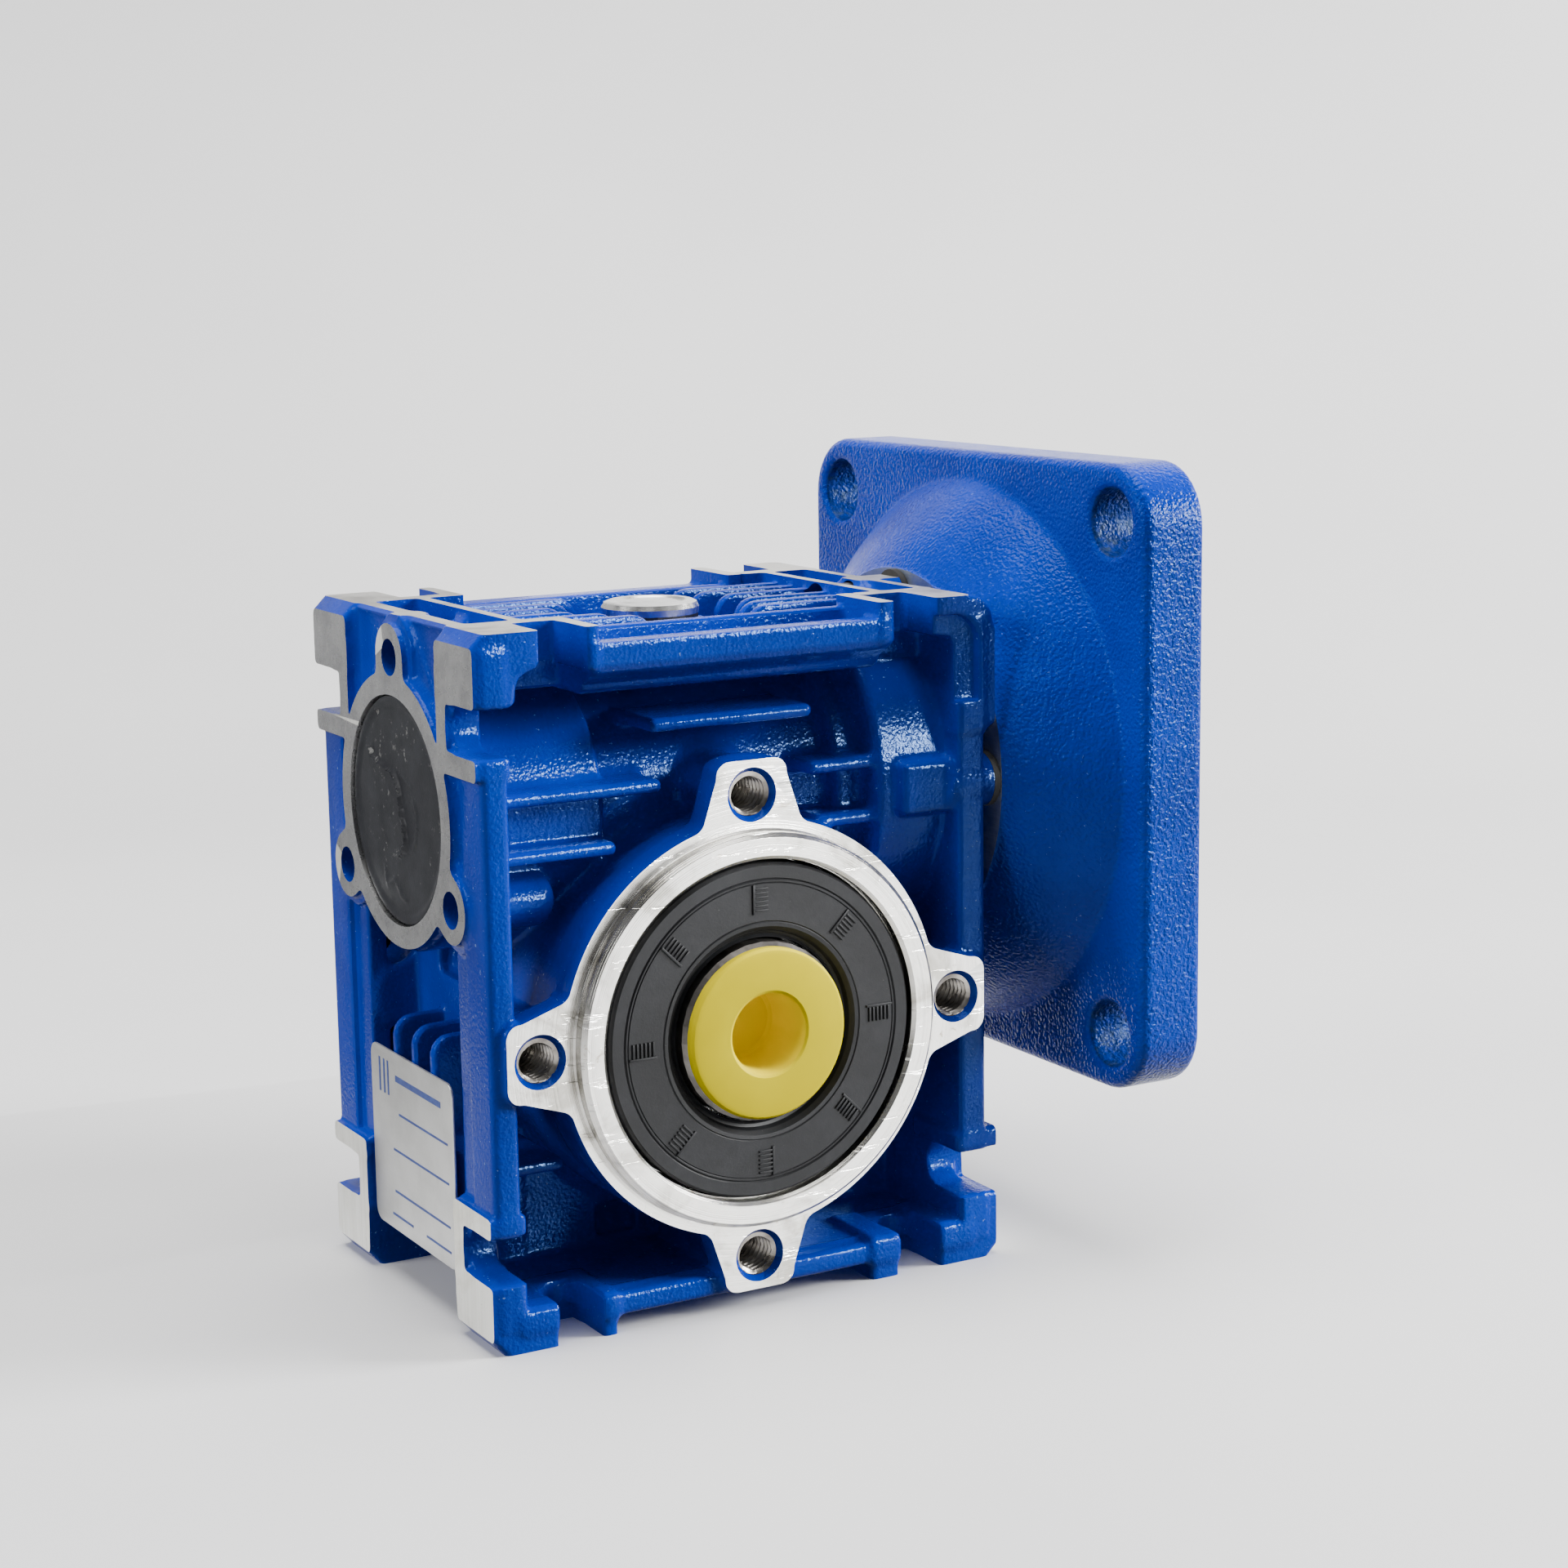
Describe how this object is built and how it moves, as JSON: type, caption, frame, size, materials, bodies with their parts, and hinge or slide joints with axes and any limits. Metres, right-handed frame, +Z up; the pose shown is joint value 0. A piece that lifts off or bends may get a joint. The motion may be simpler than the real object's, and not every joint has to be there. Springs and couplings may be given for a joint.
{
  "type": "worm gearbox",
  "caption": "Blue worm gear reducer with a ribbed square housing, a hollow output shaft closed by yellow plugs and a square motor flange on a conical neck.",
  "frame": {"origin": "centre of the assembly's bounding box seen from above, at the height of the faces of the feet", "axes": "+Z up, from the feet to the motor axis; +Y along the hollow output shaft, from the marked front face to the side with the screwed cover; +X along the worm, from the closed end cap towards the motor flange"},
  "size_m": [0.1034, 0.09, 0.115],
  "materials": {
    "blue_paint": "glossy textured blue paint over cast aluminium, bare where the faces were milled",
    "bare_steel": "ground",
    "zinc_steel": "bright zinc plated",
    "black_steel": "black oxide",
    "black_rubber": "satin",
    "cap_rubber": "matte, dark grey",
    "yellow_plastic": "satin",
    "gear_bronze": "machined",
    "plate_silver": "satin with blue printed rules",
    "gasket_fibre": "matte"
  },
  "bodies": {
    "gearcase": {"housing": "blue_paint", "output_cover": "blue_paint", "cover_screw_1": "zinc_steel", "cover_screw_2": "zinc_steel", "cover_screw_3": "zinc_steel", "cover_screw_4": "zinc_steel", "cover_o_ring": "black_rubber", "output_front_bearing_outer_ring": "bare_steel", "output_rear_bearing_outer_ring": "bare_steel", "worm_front_bearing_outer_ring": "bare_steel", "worm_rear_bearing_outer_ring": "bare_steel", "output_front_seal": "black_rubber", "output_rear_seal": "black_rubber", "input_oil_seal": "black_rubber", "rear_end_cap": "cap_rubber", "rear_bearing_shim": "bare_steel", "worm_bore_circlip": "black_steel", "oil_filler_plug": "zinc_steel", "oil_plug_washer": "black_rubber", "nameplate": "plate_silver", "input_flange": "blue_paint", "flange_screw_1": "black_steel", "flange_screw_2": "black_steel", "flange_screw_3": "black_steel", "flange_screw_4": "black_steel", "flange_gasket": "gasket_fibre"},
    "wheel": {"output_hollow_shaft": "bare_steel", "worm_wheel_rim": "gear_bronze", "output_front_bearing_inner_ring": "bare_steel", "output_rear_bearing_inner_ring": "bare_steel", "front_shaft_plug": "yellow_plastic", "rear_shaft_plug": "yellow_plastic"},
    "worm": {"worm_shaft": "bare_steel", "worm_front_bearing_inner_ring": "bare_steel", "worm_rear_bearing_inner_ring": "bare_steel", "worm_shaft_circlip": "black_steel"}
  },
  "joints": [
    {"name": "wheel_spin", "type": "hinge", "parent": "gearcase", "child": "wheel", "pos_m": [-0.0117, 0, 0.04], "axis": [0, 1, 0], "continuous": true},
    {"name": "worm_spin", "type": "hinge", "parent": "gearcase", "child": "worm", "pos_m": [-0.0117, 0, 0.07], "axis": [1, 0, 0], "continuous": true}
  ],
  "couplings": [
    {"joint": "worm_spin", "follows": "wheel_spin", "ratio": -25}
  ]
}
